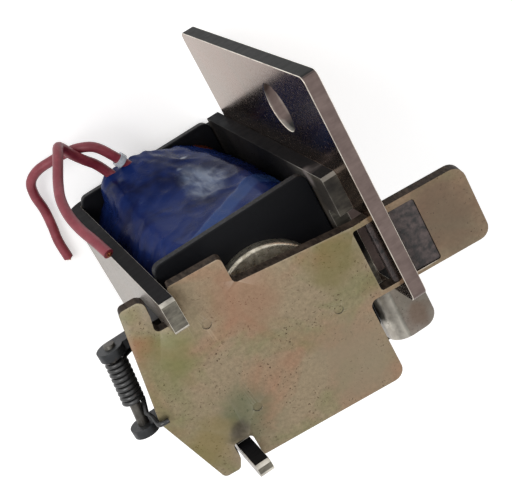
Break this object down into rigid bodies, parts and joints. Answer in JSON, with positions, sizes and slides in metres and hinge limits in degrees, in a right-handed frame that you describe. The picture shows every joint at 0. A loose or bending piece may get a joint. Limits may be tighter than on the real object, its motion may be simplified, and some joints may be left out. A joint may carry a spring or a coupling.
{
  "type": "clapper solenoid",
  "caption": "Open-frame clapper solenoid: U yoke, taped coil, hinged armature whose blade works through a slotted side plate, torsion return spring and two leads.",
  "frame": {"origin": "the core's axis on the back face of the yoke, on which the part lies", "axes": "+Z along the core from the back face to the armature, +X from the hinge to the blade, +Y to the side on which the face plate stands up"},
  "size_m": [0.0405, 0.0337, 0.043],
  "materials": {
    "zinc_steel": "satin",
    "plate_steel": "satin",
    "rivet_steel": "satin",
    "core_iron": "satin",
    "disc_steel": "satin",
    "black_nylon": "satin",
    "paper": "matte",
    "copper_enamel": "glossy",
    "blue_tape": "glossy",
    "solder": "satin",
    "lead_pvc": "satin",
    "copper_wire": "satin",
    "clear_sleeve": "glossy",
    "dark_steel": "satin",
    "pin_steel": "satin",
    "spring_steel": "satin",
    "armature_steel": "satin",
    "rubber": "matte"
  },
  "bodies": {
    "frame": {"yoke": "zinc_steel", "face_plate": "plate_steel", "plate_rivets": "rivet_steel", "core": "core_iron", "pole_disc": "disc_steel", "bobbin": "black_nylon", "core_wrap": "paper", "winding": "copper_enamel", "coil_tape": "blue_tape", "lead_wrap": "blue_tape", "lead_splices": "solder", "lead_wire_a": "lead_pvc", "lead_wire_b": "lead_pvc", "lead_cores": "copper_wire", "lead_sleeve": "clear_sleeve", "spring_bracket": "dark_steel", "bracket_rivets": "rivet_steel", "spring_pin": "pin_steel", "return_spring": "spring_steel"},
    "armature": {"armature": "armature_steel", "buffer_pad": "rubber"}
  },
  "joints": [
    {"name": "armature_hinge", "type": "hinge", "parent": "frame", "child": "armature", "pos_m": [-0.0108, 0, 0.0357], "axis": [0, 1, 0], "range_deg": [0, 8.5], "stiffness_Nm_per_rad": 0.02, "springref_deg": -17.19, "deforming": ["return_spring"]}
  ]
}
